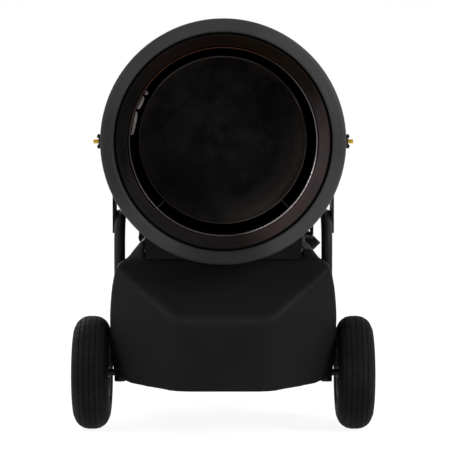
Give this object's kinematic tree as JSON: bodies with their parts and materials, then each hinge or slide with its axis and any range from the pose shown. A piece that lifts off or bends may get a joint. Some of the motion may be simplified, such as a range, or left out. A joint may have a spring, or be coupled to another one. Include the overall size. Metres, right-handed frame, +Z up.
{
  "type": "radiant oil heater",
  "caption": "Wheeled oil-fired radiant heater: a tilting drum head with bell, reflector cone and heat disc over a moulded fuel tank in a bent-tube frame with a rear handle.",
  "frame": {"origin": "on the floor, under the middle of the heater's overall box", "axes": "+Z up, +Y to the rear where the handle is, +X to the right seen from the front; the heat disc faces -Y"},
  "size_m": [0.6886, 1.04, 0.932],
  "materials": {
    "frame_paint": "black powder coat, satin",
    "bell_paint": "dark grey heat-resistant paint, satin",
    "drum_paint": "dark heat-resistant paint, satin",
    "tinted_steel": "stainless sheet, heat-tinted brown to violet",
    "chamber_steel": "stainless sheet, darkened by heat",
    "disc_steel": "scaled dark steel, sooty in the middle",
    "tank_plastic": "rotomoulded black polyethylene, fine grain",
    "shield_paint": "black powder coat, satin",
    "tyre_rubber": "black tyre rubber",
    "rim_paint": "black paint, gloss",
    "black_rubber": "black rubber",
    "zinc_steel": "bright zinc plate",
    "yellow_zinc": "yellow passivated zinc plate",
    "black_plastic": "moulded black plastic",
    "red_plastic": "moulded red plastic",
    "lamp_plastic": "green lens",
    "board_green": "circuit board",
    "galvanised": "galvanised sheet",
    "motor_paint": "grey paint",
    "pump_cast": "die-cast, plain",
    "ceramic_white": "glazed ceramic",
    "fibre": "hard fibre"
  },
  "bodies": {
    "chassis": {"side_frame_left": "frame_paint", "side_frame_right": "frame_paint", "handle_bar": "frame_paint", "handle_grips": "black_rubber", "cross_members": "frame_paint", "rear_stand": "frame_paint", "stand_feet": "black_rubber", "axle": "zinc_steel", "axle_hardware": "zinc_steel", "fuel_tank": "tank_plastic", "filler_neck": "black_plastic", "drain_plug": "black_plastic", "pickup_tube": "zinc_steel", "tank_shield": "shield_paint", "shield_screws": "zinc_steel", "pivot_plates": "frame_paint", "friction_washers": "fibre", "fuel_hose": "black_rubber", "control_cabinet": "frame_paint", "cabinet_brackets": "frame_paint", "control_panel": "frame_paint", "pilot_lamp": "lamp_plastic", "cable_gland": "black_plastic", "control_board": "board_green", "frame_bolts": "zinc_steel"},
    "head": {"pivot_bolts": "yellow_zinc", "front_bell": "bell_paint", "reflector_cone": "tinted_steel", "drum_shell": "drum_paint", "drum_back": "drum_paint", "heat_disc": "disc_steel", "disc_pins": "chamber_steel", "combustion_chamber": "chamber_steel", "blast_tube": "chamber_steel", "nozzle_holder": "yellow_zinc", "swirl_plate": "galvanised", "electrodes": "ceramic_white", "fan_housing": "galvanised", "motor": "motor_paint", "fuel_pump": "pump_cast", "ignition_transformer": "black_plastic", "burner_casing": "drum_paint", "rear_grille": "frame_paint", "casing_screws": "zinc_steel"},
    "wheel_left": {"tyre_left": "tyre_rubber", "rim_left": "rim_paint", "bearings_left": "zinc_steel"},
    "wheel_right": {"tyre_right": "tyre_rubber", "rim_right": "rim_paint", "bearings_right": "zinc_steel"},
    "wing_left": {"wing_nut_left": "frame_paint"},
    "wing_right": {"wing_nut_right": "frame_paint"},
    "rotor": {"motor_shaft": "zinc_steel", "fan_wheel": "galvanised"},
    "damper": {"air_damper": "galvanised"},
    "seal": {"cap_seal": "black_rubber"},
    "cap": {"fuel_cap": "black_plastic"},
    "knob": {"thermostat_knob": "black_plastic"},
    "rocker": {"power_rocker": "red_plastic"},
    "reset": {"reset_button": "red_plastic"}
  },
  "joints": [
    {"name": "head_tilt", "type": "hinge", "parent": "chassis", "child": "head", "pos_m": [0, -0.26, 0.661], "axis": [-1, 0, 0], "range_deg": [-5, 10], "deforming": ["fuel_hose"]},
    {"name": "wheel_left_spin", "type": "hinge", "parent": "chassis", "child": "wheel_left", "pos_m": [-0.3015, -0.33, 0.13], "axis": [1, 0, 0], "continuous": true},
    {"name": "wheel_right_spin", "type": "hinge", "parent": "chassis", "child": "wheel_right", "pos_m": [0.3015, -0.33, 0.13], "axis": [1, 0, 0], "continuous": true},
    {"name": "wing_left_turn", "type": "hinge", "parent": "head", "child": "wing_left", "pos_m": [-0.28, -0.26, 0.661], "axis": [1, 0, 0], "continuous": true},
    {"name": "wing_right_turn", "type": "hinge", "parent": "head", "child": "wing_right", "pos_m": [0.28, -0.26, 0.661], "axis": [1, 0, 0], "continuous": true},
    {"name": "motor_spin", "type": "hinge", "parent": "head", "child": "rotor", "pos_m": [0, -0.01, 0.66], "axis": [1, 0, 0], "continuous": true},
    {"name": "damper_turn", "type": "hinge", "parent": "head", "child": "damper", "pos_m": [-0.043, -0.01, 0.66], "axis": [1, 0, 0], "range_deg": [0, 60]},
    {"name": "cap_lift", "type": "slide", "parent": "chassis", "child": "seal", "axis": [0.7071, 0, 0.7071], "range_m": [0, 0.03]},
    {"name": "cap_turn", "type": "hinge", "parent": "seal", "child": "cap", "pos_m": [0.202, 0, 0.412], "axis": [0.7071, 0, 0.7071], "continuous": true},
    {"name": "thermostat_turn", "type": "hinge", "parent": "chassis", "child": "knob", "pos_m": [0.13, 0.167, 0.425], "axis": [0, 1, 0], "range_deg": [-140, 140]},
    {"name": "power_rock", "type": "hinge", "parent": "chassis", "child": "rocker", "pos_m": [0.07, 0.1635, 0.425], "axis": [1, 0, 0], "range_deg": [0, 16]},
    {"name": "reset_press", "type": "slide", "parent": "chassis", "child": "reset", "axis": [0, -1, 0], "range_m": [0, 0.003], "stiffness_N_per_m": 300, "springref_m": -0.001}
  ]
}
